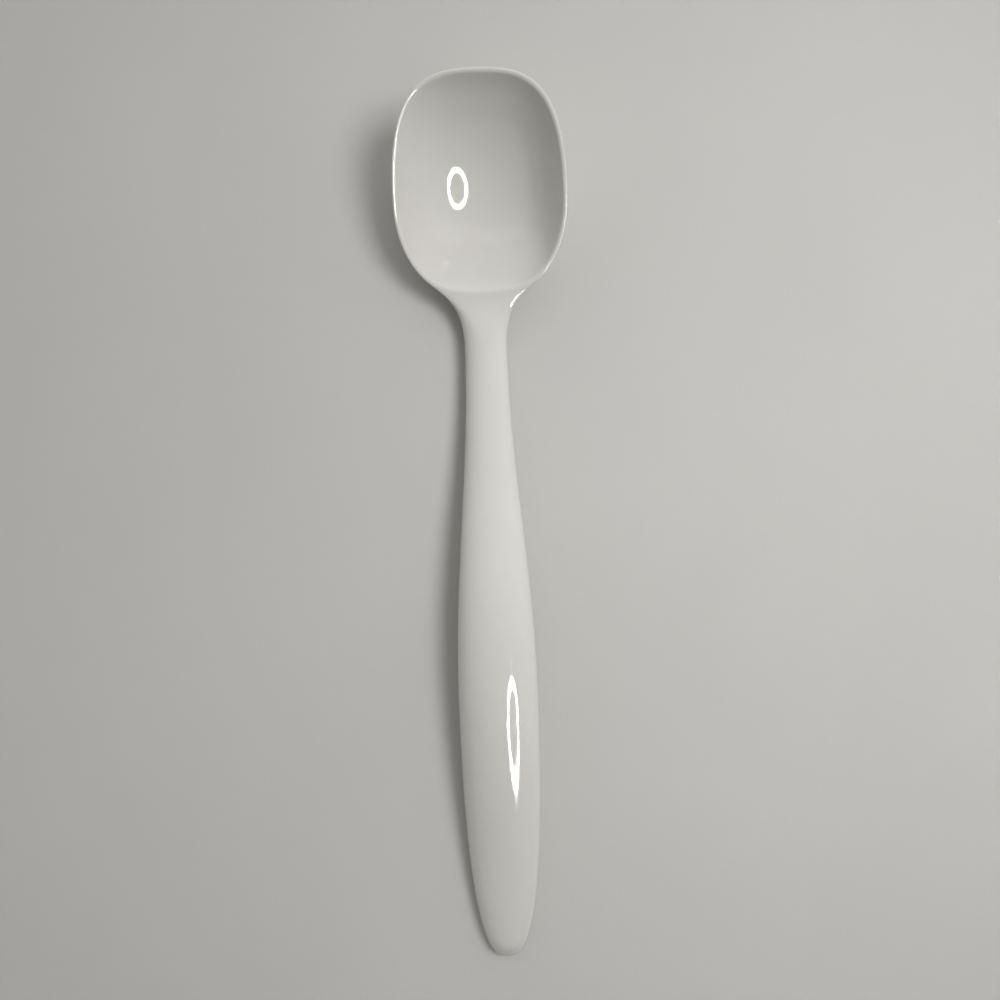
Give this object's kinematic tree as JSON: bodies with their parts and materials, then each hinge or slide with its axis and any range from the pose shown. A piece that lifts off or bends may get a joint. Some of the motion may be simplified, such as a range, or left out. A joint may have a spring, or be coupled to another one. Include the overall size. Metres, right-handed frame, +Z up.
{
  "type": "serving spoon",
  "caption": "Moulded serving spoon with a deep rounded-square bowl, a narrow flared neck and a gently arched, tapering handle.",
  "frame": {"origin": "middle of the spoon's bounding box, on the table it lies on", "axes": "+Y from the handle end to the bowl tip, +Z up out of the bowl, +X to the right of the handle"},
  "size_m": [0.0584, 0.3, 0.0371],
  "materials": {
    "melamine": "glossy moulded white melamine"
  },
  "bodies": {
    "root": {"bowl": "melamine", "neck": "melamine", "handle": "melamine"}
  },
  "joints": []
}
